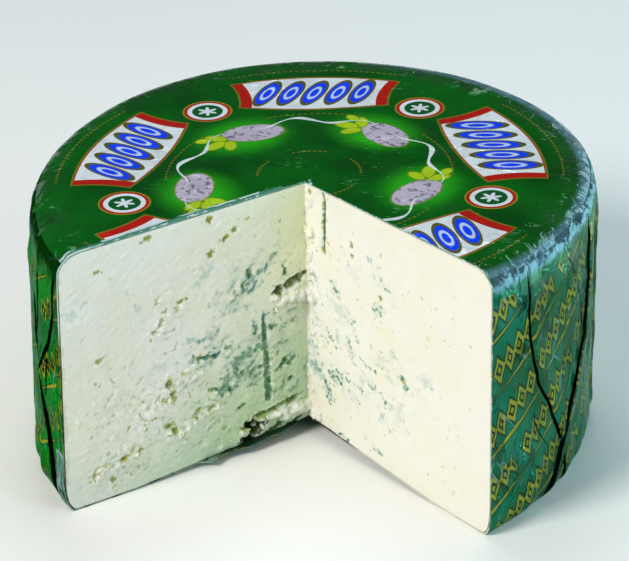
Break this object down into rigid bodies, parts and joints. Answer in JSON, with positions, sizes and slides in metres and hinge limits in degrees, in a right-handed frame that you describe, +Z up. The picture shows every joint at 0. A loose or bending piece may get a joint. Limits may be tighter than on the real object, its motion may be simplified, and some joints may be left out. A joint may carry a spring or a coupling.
{
  "type": "blue cheese wheel",
  "caption": "Round wheel of blue-veined cheese in green foil, standing flat, with about a quarter cut out as a wedge that shows the curd.",
  "frame": {"origin": "middle of the part's box, on the surface that the foil's foot ring rests on", "axes": "+Z up, the notch opens towards -Y, +X to the right when looking into the notch"},
  "size_m": [0.1891, 0.1678, 0.0962],
  "materials": {
    "cheese_paste": "moist crumbly curd with blue-green mould veins",
    "green_foil": "green lacquered aluminium foil, creased, with a printed pattern"
  },
  "bodies": {
    "root": {"cheese": "cheese_paste", "foil": "green_foil"}
  },
  "joints": []
}
